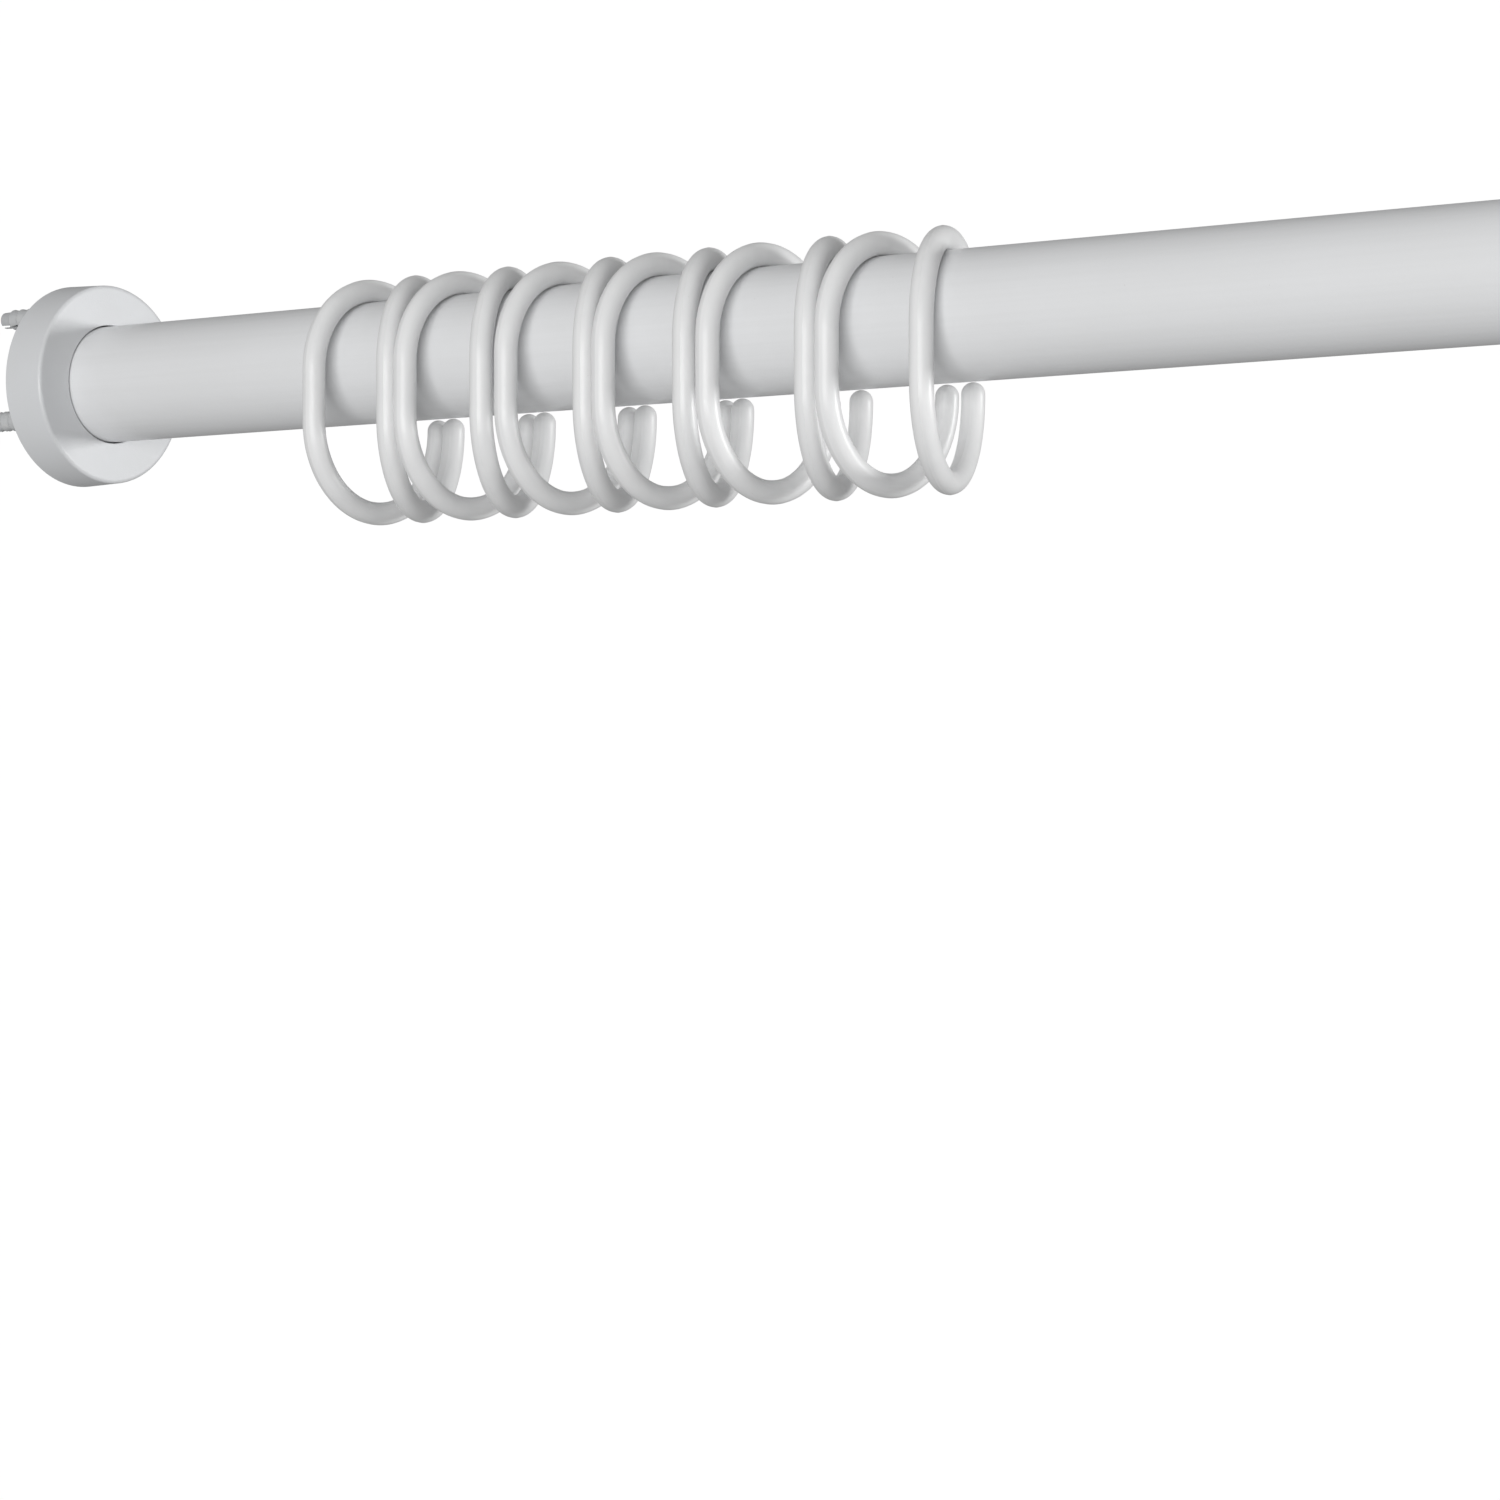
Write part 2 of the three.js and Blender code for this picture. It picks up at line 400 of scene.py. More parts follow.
@dataclass(frozen=True)
class MouldedCover:
    """Fine satin white plastic of the covers."""

    front_x: tuple[float, float]
    edge_radius: float
    colour: Colour = (0.690, 0.702, 0.717)
    warm: Colour = (0.664, 0.672, 0.680)
    dust: Dust = Dust((0.55, 0.54, 0.52), 5 * MM, 0.024, 0.45)
    roughness: float = 0.36
    handled_width: float = 1.6 * MM
    handled_height: float = 1.3 * MM
    depth: float = 0.040 * MM

    def material(self) -> bpy.types.Material:
        """Spark-eroded texture, flow clouds, and a front edge that handling has polished.

        Returns:
            The material.
        """
        g = Graph("white_cover")
        texture = g.noise(0.22 * MM, 2.0)
        pits = g.cells(0.5 * MM)
        clouds = g.noise(14 * MM, 4.0)
        turning = g.noise(0.35 * MM, 2.0, (1.0, 0.05, 0.05))
        x = g.axis("X")
        left, right = (x.bell(front, self.handled_width) for front in self.front_x)
        edge = (left + right) * g.radius().bell(self.edge_radius, self.handled_height)
        handled = edge * g.noise(2.5 * MM, 4.0).step(0.35, 0.7)
        shade = clouds.step(0.3, 0.75) * 0.6 + handled * 0.5
        colour = self.dust.over(g, g.blend(self.colour, self.warm, shade))
        rough = self.roughness + clouds * 0.07 + texture * 0.04 - handled * 0.14
        normal = g.relief(texture * 0.7 + pits * 0.3 + turning * 0.15, self.depth)
        fixed = {"IOR": 1.5, "Coat Weight": 0.08, "Coat Roughness": 0.25}
        return g.finish(fixed, {"Base Color": colour, "Roughness": rough, "Normal": normal})


@dataclass(frozen=True)
class RingPlastic:
    """Glossy white plastic of the curtain rings."""

    colour: Colour = (0.835, 0.838, 0.838)
    milky: Colour = (0.790, 0.795, 0.798)
    dust: Dust = Dust((0.58, 0.57, 0.55), 4 * MM, 0.03, 0.4)
    roughness: float = 0.36
    seat_height: float = 14.4 * MM
    seat_width: float = 1.6 * MM
    depth: float = 0.030 * MM

    def material(self) -> bpy.types.Material:
        """Smooth moulding with flow marks, a dull rubbed patch under the top and fine scuffs.

        Returns:
            The material.
        """
        g = Graph("ring_plastic")
        flow = g.noise(5 * MM, 4.0, (1.0, 1.0, 0.45))
        skin = g.noise(0.9 * MM, 2.0)
        scuffs = g.noise(0.3 * MM, 3.0, (1.0, 0.25, 0.08)).step(0.58, 0.75)
        seat = g.axis("Z").bell(self.seat_height, self.seat_width)
        rubbed = seat * g.noise(0.6 * MM, 3.0).step(0.3, 0.6)
        shade = flow.step(0.3, 0.75) * 0.7 + rubbed * 0.3
        colour = self.dust.over(g, g.blend(self.colour, self.milky, shade))
        rough = self.roughness + flow * 0.08 + scuffs * 0.12 + rubbed * 0.12
        normal = g.relief(skin + scuffs * 0.2 + flow * 0.8, self.depth)
        fixed = {"IOR": 1.5, "Coat Weight": 0.06, "Coat Roughness": 0.2}
        return g.finish(fixed, {"Base Color": colour, "Roughness": rough, "Normal": normal})


@dataclass(frozen=True)
class CastAlloy:
    """Die-cast plate, bead blasted and left bare."""

    colour: Colour = (0.56, 0.57, 0.58)
    dark: Colour = (0.36, 0.365, 0.37)
    roughness: float = 0.42
    depth: float = 0.05 * MM

    def material(self) -> bpy.types.Material:
        """Blasted grain over casting clouds, with darker stains in the pores.

        Returns:
            The material.
        """
        g = Graph("cast_alloy")
        grain = g.noise(0.28 * MM, 4.0, rough=0.65)
        pores = g.specks(1.8 * MM, 0.13)
        clouds = g.noise(9 * MM, 4.0)
        stain = clouds.step(0.4, 0.8) * 0.5 + pores * 0.5
        colour = g.blend(self.colour, self.dark, stain + grain * 0.15)
        rough = self.roughness + grain * 0.16 + clouds * 0.08
        normal = g.relief(grain - pores * 0.8, self.depth)
        varying = {"Base Color": colour, "Roughness": rough, "Normal": normal}
        return g.finish({"Metallic": 0.9}, varying)


@dataclass(frozen=True)
class ZincSteel:
    """Bright zinc-plated screw steel with a thin clear passivation."""

    colour: Colour = (0.74, 0.76, 0.79)
    yellow: Colour = (0.77, 0.74, 0.66)
    spots: Colour = (0.42, 0.42, 0.43)
    roughness: float = 0.24
    depth: float = 0.006 * MM

    def material(self) -> bpy.types.Material:
        """Plating clouds, drawing scratches and dull spots.

        Returns:
            The material.
        """
        g = Graph("zinc_steel")
        clouds = g.noise(2.2 * MM, 3.0)
        scratch = g.noise(0.12 * MM, 3.0, (0.2, 1.0, 1.0)).step(0.45, 0.8)
        dull = g.specks(0.9 * MM, 0.2)
        colour = g.blend(self.colour, self.yellow, clouds.step(0.35, 0.7) * 0.6)
        colour = g.blend(colour, self.spots, dull * 0.35)
        rough = self.roughness + clouds * 0.12 + scratch * 0.12 + dull * 0.15
        normal = g.relief(scratch + clouds * 0.3, self.depth)
        varying = {"Base Color": colour, "Roughness": rough, "Normal": normal}
        return g.finish({"Metallic": 1.0}, varying)


@dataclass(frozen=True)
class GreyNylon:
    """Dull grey nylon of the wall plugs."""

    colour: Colour = (0.46, 0.47, 0.48)
    pale: Colour = (0.58, 0.59, 0.59)
    plaster: Colour = (0.72, 0.70, 0.67)
    roughness: float = 0.5
    depth: float = 0.02 * MM

    def material(self) -> bpy.types.Material:
        """Matt skin with pale stress marks and plaster dust on the barbs.

        Returns:
            The material.
        """
        g = Graph("grey_nylon")
        skin = g.noise(0.35 * MM, 3.0)
        flow = g.noise(3 * MM, 3.0, (0.3, 1.0, 1.0))
        dusty = g.noise(1.2 * MM, 4.0).step(0.55, 0.75)
        colour = g.blend(self.colour, self.pale, flow.step(0.35, 0.7) * 0.6)
        colour = g.blend(colour, self.plaster, dusty * 0.35)
        rough = self.roughness + skin * 0.12 + dusty * 0.2
        normal = g.relief(skin + flow * 0.5, self.depth)
        varying = {"Base Color": colour, "Roughness": rough, "Normal": normal}
        return g.finish({"IOR": 1.53}, varying)


@dataclass(frozen=True)
class PaleFloor:
    """Smooth pale studio floor."""

    colour: Colour = (0.90, 0.90, 0.895)
    cloudy: Colour = (0.885, 0.885, 0.88)
    cloud_size: float = 0.6
    glow: float = 0.56

    def material(self) -> bpy.types.Material:
        """Painted screed with very faint clouds, lifted like a lit studio sweep.

        Returns:
            The material.
        """
        g = Graph("pale_floor")
        clouds = g.noise(self.cloud_size, 3.0)
        colour = g.blend(self.colour, self.cloudy, clouds)
        rough = clouds * 0.1 + 0.75
        varying = {"Base Color": colour, "Emission Color": colour, "Roughness": rough}
        return g.finish({"Emission Strength": self.glow}, varying)


# ------------------------------------------------------------------------------ mesh work


@dataclass
class Corner:
    """Corner of a turned outline: place along X, radius, and the fillet that rounds it."""

    x: float
    r: float
    fillet: float = 0.0


@dataclass
class Outline:
    """Outline of a turned piece, with rounded corners and points that hold its flats flat."""

    corners: list[Corner]
    closed: bool = True
    steps: int = 6
    hold: float = 1.25

    def points(self) -> list[Point2]:
        """The outline's points.

        Returns:
            Pairs of place along X and radius, in the corners' order.
        """
        count = len(self.corners)
        found: list[Point2] = []
        for i, corner in enumerate(self.corners):
            at_end = not self.closed and i in (0, count - 1)
            if corner.fillet <= 0.0 or at_end:
                found.append((corner.x, corner.r))
                continue
            before = self.corners[i - 1]
            after = self.corners[(i + 1) % count]
            found.extend(self._round(before, corner, after))
        return found

    def _round(self, before: Corner, corner: Corner, after: Corner) -> list[Point2]:
        """Points of one rounded corner.

        Args:
            before: the corner before it.
            corner: the corner to round.
            after: the corner after it.

        Returns:
            A holding point, the arc and a holding point.
        """
        here = Vector((corner.x, corner.r))
        inward = (Vector((before.x, before.r)) - here).normalized()
        onward = (Vector((after.x, after.r)) - here).normalized()
        half = inward.angle(onward) / 2.0
        reach = corner.fillet / math.tan(half)
        hold = reach * self.hold
        middle = here + (inward + onward).normalized() * (corner.fillet / math.sin(half))
        start = here + inward * reach - middle
        sweep = start.angle_signed(here + onward * reach - middle)
        turns = [Matrix.Rotation(-sweep * i / self.steps, 2) for i in range(self.steps + 1)]
        arc = [middle + turn @ start for turn in turns]
        points = [here + inward * hold, *arc, here + onward * hold]
        return [(p.x, p.y) for p in points]


class Workshop:
    """Mesh operations that all pieces share."""

    @staticmethod
    def keep(
        name: str, mesh: bmesh.types.BMesh, crisp_above: float = CRISP_ABOVE
    ) -> bpy.types.Object:
        """Turns a working mesh into an object.

        Args:
            name: the object's name.
            mesh: the working mesh, which is freed.
            crisp_above: edges sharper than this many degrees stay crisp.

        Returns:
            The object, linked to the scene.
        """
        bmesh.ops.remove_doubles(mesh, verts=mesh.verts, dist=1e-7)
        bmesh.ops.recalc_face_normals(mesh, faces=mesh.faces)
        data = bpy.data.meshes.new(name)
        mesh.to_mesh(data)
        mesh.free()
        data.shade_smooth()
        data.set_sharp_from_angle(angle=math.radians(crisp_above))
        made = bpy.data.objects.new(name, data)
        bpy.context.scene.collection.objects.link(made)
        return made

    @staticmethod
    def bridge(mesh: bmesh.types.BMesh, rows: list[list[bmesh.types.BMVert]], closed: bool) -> None:
        """Joins rows of points with faces.

        Args:
            mesh: the working mesh.
            rows: loops of points; a loop of one point is a pole.
            closed: whether the last row joins the first.
        """
        pairs = list(zip(rows, rows[1:]))
        if closed:
            pairs.append((rows[-1], rows[0]))
        for low, high in pairs:
            count = max(len(low), len(high))
            for i in range(count):
                j = (i + 1) % count
                below = [low[i % len(low)], low[j % len(low)]]
                above = [high[j % len(high)], high[i % len(high)]]
                corners = list(dict.fromkeys(below + above))
                if len(corners) > 2:
                    mesh.faces.new(corners)

    @staticmethod
    def loop(mesh: bmesh.types.BMesh, x: float, r: float, sides: int) -> list[bmesh.types.BMVert]:
        """Adds points round the X axis.

        Args:
            mesh: the working mesh.
            x: their place along the axis.
            r: their distance from it.
            sides: how many there are.

        Returns:
            The loop, or one pole if it lies on the axis.
        """
        if r < ON_AXIS:
            return [mesh.verts.new((x, 0.0, 0.0))]
        angles = [2.0 * math.pi * i / sides for i in range(sides)]
        return [mesh.verts.new((x, r * math.cos(a), r * math.sin(a))) for a in angles]

    @classmethod
    def turn(cls, name: str, outline: Outline, segments: int) -> bpy.types.Object:
        """Turned piece about the X axis.

        Args:
            name: the object's name.
            outline: the outline; an open one starts and ends on the axis.
            segments: facets round the axis.

        Returns:
            The object.
        """
        mesh = bmesh.new()
        rows = [cls.loop(mesh, x, r, segments) for x, r in outline.points()]
        cls.bridge(mesh, rows, outline.closed)
        return cls.keep(name, mesh)

    @classmethod
    def pin(cls, name: str, length: float, radius: float, segments: int) -> bpy.types.Object:
        """Plain pin about the X axis, from the origin.

        Args:
            name: the object's name.
            length: the pin's length.
            radius: its radius.
            segments: facets round it.

        Returns:
            The pin.
        """
        ends = ((0.0, 0.0), (0.0, radius), (length, radius), (length, 0.0))
        corners = [Corner(x, r) for x, r in ends]
        return cls.turn(name, Outline(corners, closed=False), segments)

    @staticmethod
    def cut(body: bpy.types.Object, cutters: Sequence[bpy.types.Object]) -> bpy.types.Object:
        """Cuts one object with others, which are used up.

        Args:
            body: the object to cut.
            cutters: the cutting objects.

        Returns:
            The body.
        """
        for cutter in cutters:
            step = body.modifiers.new("cut", "BOOLEAN")
            step.operation = "DIFFERENCE"
            step.solver = "EXACT"
            step.object = cutter
        bpy.context.view_layer.update()
        graph = bpy.context.evaluated_depsgraph_get()
        finished = bpy.data.meshes.new_from_object(body.evaluated_get(graph))
        body.modifiers.clear()
        body.data = finished
        finished.shade_smooth()
        finished.set_sharp_from_angle(angle=math.radians(CRISP_ABOVE))
        for cutter in cutters:
            bpy.data.objects.remove(cutter)
        return body

    @staticmethod
    def copy(source: bpy.types.Object, name: str, matrix: Matrix) -> bpy.types.Object:
        """Copy of an object with a moved mesh of its own.

        Args:
            source: the object to copy.
            name: the copy's name.
            matrix: where the copy's mesh goes.

        Returns:
            The copy.
        """
        data = source.data.copy()
        data.name = name
        data.transform(matrix)
        if matrix.determinant() < 0.0:
            data.flip_normals()
        made = bpy.data.objects.new(name, data)
        bpy.context.scene.collection.objects.link(made)
        return made

    @staticmethod
    def dress(
        piece: bpy.types.Object, material: bpy.types.Material, slot: Slot, node: str, body: str
    ) -> None:
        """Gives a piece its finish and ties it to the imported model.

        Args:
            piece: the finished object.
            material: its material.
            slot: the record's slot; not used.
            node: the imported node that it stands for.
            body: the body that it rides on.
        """
        piece.data.materials.clear()
        piece.data.materials.append(material)
        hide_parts(node)
        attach(piece, body)
        LOG.info("%s: %d faces on %s", piece.name, len(piece.data.polygons), body)


# ------------------------------------------------------------------------------ threaded pieces


@dataclass
class Thread:
    """Helical thread about the X axis, from its tip at start to its run-out at end."""

    start: float
    end: float
    core: float
    crest: float
    pitch: float
    tip: float
    sides: int = 28
    rows_per_turn: int = 8
    ridge_half: float = 0.22  # of the pitch
    point: float = 0.06  # of the core
    bite: float = 1.4  # how soon the ridge is full along the tip

    def radius(self, x: float, phase: float) -> float:
        """Radius at a place.

        Args:
            x: place along the axis.
            phase: place within one turn of the thread, from 0 to 1.

        Returns:
            The radius.
        """
        ridge = max(0.0, 1.0 - abs(phase - 0.5) / self.ridge_half)
        fade_in = min(1.0, max(0.0, (x - self.start) / self.tip))
        fade_out = min(1.0, max(0.0, (self.end - x) / self.pitch))
        core = self.core * (self.point + (1.0 - self.point) * fade_in)
        height = (self.crest - self.core) * ridge
        return core + height * min(fade_in * self.bite, 1.0) * fade_out

    def rows(self, mesh: bmesh.types.BMesh) -> list[list[bmesh.types.BMVert]]:
        """Loops of points that follow the helix.

        Args:
            mesh: the working mesh.

        Returns:
            The loops, from the tip to the run-out.
        """
        step = self.pitch / self.rows_per_turn
        count = math.ceil((self.end - self.start + self.pitch) / step)
        loops = []
        for k in range(count + 1):
            loop = []
            for i in range(self.sides):
                turn = i / self.sides
                x = self.start - self.pitch + k * step + turn * self.pitch
                held = min(max(x, self.start), self.end)
                r = self.radius(held, (held / self.pitch - turn) % 1.0)
                a = 2.0 * math.pi * turn
                loop.append(mesh.verts.new((held, r * math.cos(a), r * math.sin(a))))
            loops.append(loop)
        return loops


@dataclass(frozen=True)
class Recess:
    """Cross recess of a screw's head, with blades that narrow towards the bottom."""

    width: float
    blade: float
    depth: float
    foot: float = 0.35
    mouth: float = 1.5
    thinning: float = 0.4

    def cutter(self, top: float, turn: float) -> bpy.types.Object:
        """One of the two blades that cut it.

        Args:
            top: place of the head's top along X.
            turn: angle about the axis.

        Returns:
            The cutting object.
        """
        mesh = bmesh.new()
        loops = []
        levels = ((top - self.depth, self.foot), (top, 1.0), (top + self.depth, self.mouth))
        for x, scale in levels:
            half_y = self.width / 2.0 * scale
            half_z = self.blade / 2.0 * (1.0 - self.thinning + self.thinning * scale)
            corners = ((half_y, half_z), (-half_y, half_z), (-half_y, -half_z), (half_y, -half_z))
            loops.append([mesh.verts.new((x, y, z)) for y, z in corners])
        Workshop.bridge(mesh, loops, closed=False)
        mesh.faces.new(loops[0])
        mesh.faces.new(loops[-1])
        bmesh.ops.rotate(mesh, verts=mesh.verts, matrix=Matrix.Rotation(turn, 3, "X"))
        return Workshop.keep("recess_blade", mesh)


@dataclass
class Screw:
    """Cross-recessed screw about the X axis, head towards +X."""

    thread: Thread
    head: list[Corner]
    recess: Recess

    def build(self, name: str) -> bpy.types.Object:
        """Builds the screw.

        Args:
            name: the object's name.

        Returns:
            The screw with its cross recess cut.
        """
        mesh = bmesh.new()
        sides = self.thread.sides
        point = Workshop.loop(mesh, self.thread.start, 0.0, sides)
        rows = [point, *self.thread.rows(mesh)]
        outline = Outline(self.head, closed=False, steps=4)
        rows += [Workshop.loop(mesh, x, r, sides) for x, r in outline.points()]
        Workshop.bridge(mesh, rows, closed=False)
        top = self.head[-1].x
        blades = [self.recess.cutter(top, turn) for turn in (0.0, QUARTER_TURN)]
        return Workshop.cut(Workshop.keep(name, mesh), blades)


@dataclass
class WallScrew:
    """Countersunk wall screw, made where the left bracket has its first one along X."""

    core: float = 1.0 * MM
    crest: float = 1.48 * MM
    pitch: float = 1.35 * MM
    tip: float = 3.2 * MM
    shank: float = 1.32 * MM
    cone_foot: float = 1.5 * MM
    thread_stop: float = 3.0 * MM
    shank_start: float = 2.8 * MM
    throat: float = 0.4 * MM
    throat_fillet: float = 0.5 * MM
    rim: float = 0.25 * MM
    rim_inset: float = 0.05 * MM
    rim_fillet: float = 0.06 * MM
    recess: Recess = Recess(2.8 * MM, 0.62 * MM, 1.3 * MM)

    def build(self) -> bpy.types.Object:
        """Builds the screw.

        Returns:
            The screw, without its finish.
        """
        low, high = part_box("left_wall_screw_1")
        head = radius_of("left_wall_screw_1")
        neck = high.x - (head - self.cone_foot)
        stop = neck - self.thread_stop
        thread = Thread(low.x, stop, self.core, self.crest, self.pitch, self.tip)
        corners = [
            Corner(neck - self.shank_start, self.shank),
            Corner(neck - self.throat, self.shank, self.throat_fillet),
            Corner(high.x - self.rim, head, self.rim_fillet),
            Corner(high.x, head - self.rim_inset, self.rim_fillet),
            Corner(high.x, 0.0),
        ]
        return Screw(thread, corners, self.recess).build("wall_screw")


@dataclass
class LockScrew:
    """Pan-head screw that locks the tube, its head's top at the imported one's distance."""

    core: float = 1.0 * MM
    crest: float = 1.42 * MM
    pitch: float = 1.1 * MM
    tip: float = 1.2 * MM
    shank: float = 1.3 * MM
    head_height: float = 1.6 * MM
    thread_stop: float = 0.5 * MM
    shank_start: float = 0.4 * MM
    shank_fillet: float = 0.1 * MM
    seat_fillet: float = 0.15 * MM
    side: float = 0.9 * MM
    side_fillet: float = 0.7 * MM
    crown: float = 0.62
    crown_fillet: float = 0.5 * MM
    recess: Recess = Recess(2.3 * MM, 0.55 * MM, 1.0 * MM)

    def build(self) -> bpy.types.Object:
        """Builds the screw about the X axis.

        Returns:
            The screw, without its finish.
        """
        low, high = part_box("left_tube_lock_screw")
        head = (high.x - low.x) / 2.0
        seat = high.y - self.head_height
        stop = seat - self.thread_stop
        thread = Thread(low.y, stop, self.core, self.crest, self.pitch, self.tip)
        corners = [
            Corner(seat - self.shank_start, self.shank),
            Corner(seat, self.shank, self.shank_fillet),
            Corner(seat, head, self.seat_fillet),
            Corner(seat + self.side, head, self.side_fillet),
            Corner(high.y, head * self.crown, self.crown_fillet),
            Corner(high.y, 0.0),
        ]
        return Screw(thread, corners, self.recess).build("lock_screw")


# ------------------------------------------------------------------------------ rod


@dataclass
class RodTube:
    """Drawn steel tube, enamelled white, with a lock screw's hole near each end."""

    wall: float = 1.0 * MM
    end_fillet: float = 0.3 * MM
    hole_radius: float = 1.75 * MM
    hole_segments: int = 48
    hole_reach: float = 1.5  # of the tube's radius
    segments: int = 192
    finish: WhiteLacquer = field(default_factory=WhiteLacquer)

    def build(self) -> bpy.types.Object:
        """Builds and dresses the tube.

        Returns:
            The tube.
        """
        low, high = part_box("rod_tube")
        outer = radius_of("rod_tube")
        inner = outer - self.wall
        ends = ((low.x, inner), (low.x, outer), (high.x, outer), (high.x, inner))
        corners = [Corner(x, r, self.end_fillet) for x, r in ends]
        tube = Workshop.turn("tube", Outline(corners), self.segments)
        reach = outer * self.hole_reach
        holes = []
        for side in Side:
            hole = Workshop.pin("tube_hole", reach, self.hole_radius, self.hole_segments)
            hole.data.transform(lock_axis(side))
            holes.append(hole)
        Workshop.cut(tube, holes)
        Workshop.dress(tube, self.finish.material(), Slot.LACQUER, "rod_tube", "rod")
        return tube


# ------------------------------------------------------------------------------ bracket


@dataclass
class Cover:
    """Cup-shaped cover that slips over the wall plate, made at the left wall."""

    taper: float = 0.4 * MM
    wall: float = 2.0 * MM
    front_edge: float = 0.9 * MM
    small_edge: float = 0.25 * MM
    segments: int = 192

    def build(self) -> bpy.types.Object:
        """Builds the cover.

        Returns:
            The cover, without its finish.
        """
        low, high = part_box("left_cover")
        back = radius_of("left_cover")
        front = back - self.taper
        hollow = front - self.wall
        mouth = radius_of("rod_tube") + FIT_GAP
        corners = [
            Corner(low.x, hollow, self.small_edge),
            Corner(low.x, back, self.small_edge),
            Corner(high.x, front, self.front_edge),
            Corner(high.x, mouth, self.small_edge),
            Corner(high.x - self.wall, mouth, self.small_edge),
            Corner(high.x - self.wall, hollow, self.small_edge * 2.0),
        ]
        return Workshop.turn("cover", Outline(corners, steps=8), self.segments)


@dataclass
class WallPlate:
    """Cast plate with its spigot, made at the left wall."""

    thickness: float = 3.5 * MM
    spigot_wall: float = 2.2 * MM
    pad_radius: float = 10.0 * MM
    groove: tuple[float, float] = (2.5 * MM, 0.6 * MM)
    edge: float = 0.35 * MM
    lock_hole: float = 1.75 * MM
    screw_hole: float = 1.8 * MM
    lock_segments: int = 40
    screw_segments: int = 48
    segments: int = 160

    def build(self) -> bpy.types.Object:
        """Builds the plate with its countersunk holes.

        Returns:
            The plate, without its finish.
        """
        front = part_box("left_wall_plate")[1].x
        disc = radius_of("left_wall_plate")
        spigot = radius_of("rod_tube") - RodTube.wall - FIT_GAP
        bore = spigot - self.spigot_wall
        width, depth = self.groove
        corners = [
            Corner(0.0, 0.0),
            Corner(0.0, self.pad_radius, self.edge),
            Corner(depth, self.pad_radius, self.edge / 2.0),
            Corner(depth, self.pad_radius + width, self.edge / 2.0),
            Corner(0.0, self.pad_radius + width, self.edge),
            Corner(0.0, disc, self.edge),
            Corner(self.thickness, disc, self.edge),
            Corner(self.thickness, spigot, self.edge),
            Corner(front, spigot, self.edge * 2.0),
            Corner(front, bore, self.edge),
            Corner(self.thickness, bore, self.edge * 2.0),
            Corner(self.thickness, 0.0),
        ]
        plate = Workshop.turn("wall_plate", Outline(corners, closed=False), self.segments)
        holes = [self._screw_hole(number) for number in SCREW_NUMBERS]
        return Workshop.cut(plate, [self._lock_hole(), *holes])

    def _lock_hole(self) -> bpy.types.Object:
        """Cutter for the lock screw's hole, through the back of the spigot.

        Returns:
            The cutter.
        """
        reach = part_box("left_tube_lock_screw")[1].y
        cutter = Workshop.pin("lock_hole", reach, self.lock_hole, self.lock_segments)
        cutter.data.transform(lock_axis(Side.LEFT))
        return cutter

    def _screw_hole(self, number: int) -> bpy.types.Object:
        """Cutter for a countersunk hole.

        Args:
            number: the wall screw that goes through it.

        Returns:
            The cutter.
        """
        node = f"left_wall_screw_{number}"
        low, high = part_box(node)
        centre = (low + high) / 2.0
        head = radius_of(node) + FIT_GAP
        beyond = self.thickness * 2.0
        corners = [
            Corner(-self.thickness, 0.0),
            Corner(-self.thickness, self.screw_hole),
            Corner(high.x - (head - self.screw_hole), self.screw_hole),
            Corner(high.x, head),
            Corner(beyond, head),
            Corner(beyond, 0.0),
        ]
        outline = Outline(corners, closed=False)
        cutter = Workshop.turn("screw_hole", outline, self.screw_segments)
        cutter.data.transform(Matrix.Translation((0.0, centre.y, centre.z)))
        return cutter


@dataclass
class WallPlug:
    """Nylon plug with barbs and a split tail, made about the X axis with its mouth at zero."""

    bore: float = 1.8 * MM
    barbs: int = 7
    barb_depth: float = 0.45 * MM
    barb_step: float = 0.3 * MM
    barb_share: float = 0.85  # of the pitch that a barb's slope takes
    tail_thinning: float = 1.2  # of the barb's depth
    soft: float = 0.06 * MM
    collar: float = 3.0 * MM
    split: float = 0.9 * MM
    split_start: float = 2.2  # collars from the mouth
    segments: int = 48

    def build(self) -> bpy.types.Object:
        """Builds the plug.

        Returns:
            The plug, without its finish.
        """
        low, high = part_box("left_wall_plug_1")
        length = high.x - low.x
        outer = radius_of("left_wall_plug_1")
        pitch = (length - 2.0 * self.collar) / self.barbs
        root = outer - self.barb_depth
        outline = [(0.0, self.bore), (0.0, outer), (-self.collar, outer)]
        for i in range(self.barbs):
            foot = -self.collar - i * pitch
            outline += [(foot - self.barb_step, root), (foot - pitch * self.barb_share, outer)]
        outline += [
            (self.collar - length - self.barb_step, root),
            (-length, outer - self.barb_depth * self.tail_thinning),
            (-length, self.bore),
        ]
        corners = [Corner(x, r, self.soft) for x, r in outline]
        plug = Workshop.turn("wall_plug", Outline(corners, steps=3), self.segments)
        return Workshop.cut(plug, [self._slot(length, outer)])

    def _slot(self, length: float, outer: float) -> bpy.types.Object:
        """Cutter for the split in the tail.

        Args:
            length: the plug's length.
            outer: the plug's radius.

        Returns:
            The cutter.
        """
        mesh = bmesh.new()
        bmesh.ops.create_cube(mesh, size=1.0)
        start = self.split_start * self.collar
        reach = length - start
        bmesh.ops.scale(mesh, verts=mesh.verts, vec=(reach, outer * 3.0, self.split))
        middle = -start - reach / 2.0 - MM
        bmesh.ops.translate(mesh, verts=mesh.verts, vec=(middle, 0.0, 0.0))
        return Workshop.keep("plug_slot", mesh)


